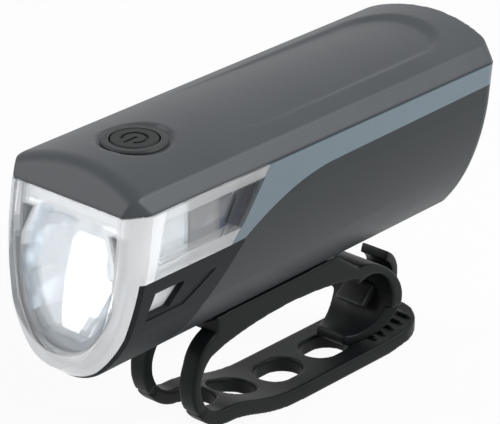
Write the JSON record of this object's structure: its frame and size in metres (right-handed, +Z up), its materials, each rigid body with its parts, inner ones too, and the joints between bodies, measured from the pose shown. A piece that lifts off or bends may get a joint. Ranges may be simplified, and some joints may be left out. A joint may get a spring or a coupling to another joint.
{
  "type": "bicycle headlight",
  "caption": "Slim rechargeable handlebar headlight with clear U-shaped lens, side windows, top power button, and a rubber strap mount that slides off.",
  "frame": {"origin": "centre of the box's bottom, on the surface that the strap's tail rests on", "axes": "+Z up, lamp shines towards -Y, +X is the side at the right of the picture"},
  "size_m": [0.034, 0.1096, 0.0655],
  "materials": {
    "cover_plastic": "satin dark grey",
    "housing_plastic": "satin near black",
    "trim_plastic": "satin blue grey",
    "lens_clear": "clear polycarbonate",
    "reflector_metal": "bright vacuum metallised",
    "carrier_plastic": "satin grey",
    "led_face": "clear over yellow phosphor",
    "led_board_white": "white solder mask",
    "sink_aluminium": "plain",
    "board_green": "green solder mask",
    "screw_steel": "plated",
    "switch_black": "moulded",
    "button_rubber": "fine matt",
    "ring_rubber": "fine matt",
    "socket_steel": "plated",
    "flap_rubber": "fine matt",
    "cell_wrap": "shrink wrap",
    "cradle_plastic": "moulded",
    "contact_nickel": "nickel strip",
    "lead_insulation": "silicone",
    "seal_rubber": "soft",
    "base_plastic": "moulded",
    "strap_rubber": "matt silicone",
    "hook_plastic": "moulded"
  },
  "bodies": {
    "mount": {"mount_base": "base_plastic", "strap_saddle": "strap_rubber", "strap_hook": "hook_plastic"},
    "strap_tail": {"strap_tail": "strap_rubber"},
    "button": {"power_button": "button_rubber", "switch_plunger": "switch_black"},
    "usb_flap": {"usb_cover": "flap_rubber"},
    "lamp": {"top_cover": "cover_plastic", "lower_housing": "housing_plastic", "front_frame": "housing_plastic", "side_trim_left": "trim_plastic", "side_trim_right": "trim_plastic", "front_lens": "lens_clear", "lens_seal": "seal_rubber", "cover_seal": "seal_rubber", "reflector": "reflector_metal", "optic_carrier": "carrier_plastic", "led_emitter": "led_face", "led_board": "led_board_white", "heat_sink": "sink_aluminium", "main_board": "board_green", "board_screws": "screw_steel", "tactile_switch": "switch_black", "button_seal": "ring_rubber", "usb_socket": "socket_steel", "charge_board": "board_green", "battery_cell": "cell_wrap", "battery_cradle": "cradle_plastic", "cell_contacts": "contact_nickel", "battery_leads": "lead_insulation"}
  },
  "joints": [
    {"name": "button_press", "type": "slide", "parent": "lamp", "child": "button", "axis": [0, 0, -1], "range_m": [0, 0.0006], "stiffness_N_per_m": 2500},
    {"name": "usb_flap_turn", "type": "hinge", "parent": "lamp", "child": "usb_flap", "pos_m": [0, 0.05251, 0.0429], "axis": [-1, 0, 0], "range_deg": [0, 110], "stiffness_Nm_per_rad": 0.002},
    {"name": "lamp_slide", "type": "slide", "parent": "mount", "child": "lamp", "axis": [0, -1, 0], "range_m": [0, 0.022]},
    {"name": "strap_tail_bend", "type": "hinge", "parent": "mount", "child": "strap_tail", "pos_m": [0, -0.02482, 0.00834], "axis": [-1, 0, 0], "range_deg": [0, 70], "stiffness_Nm_per_rad": 0.05}
  ]
}
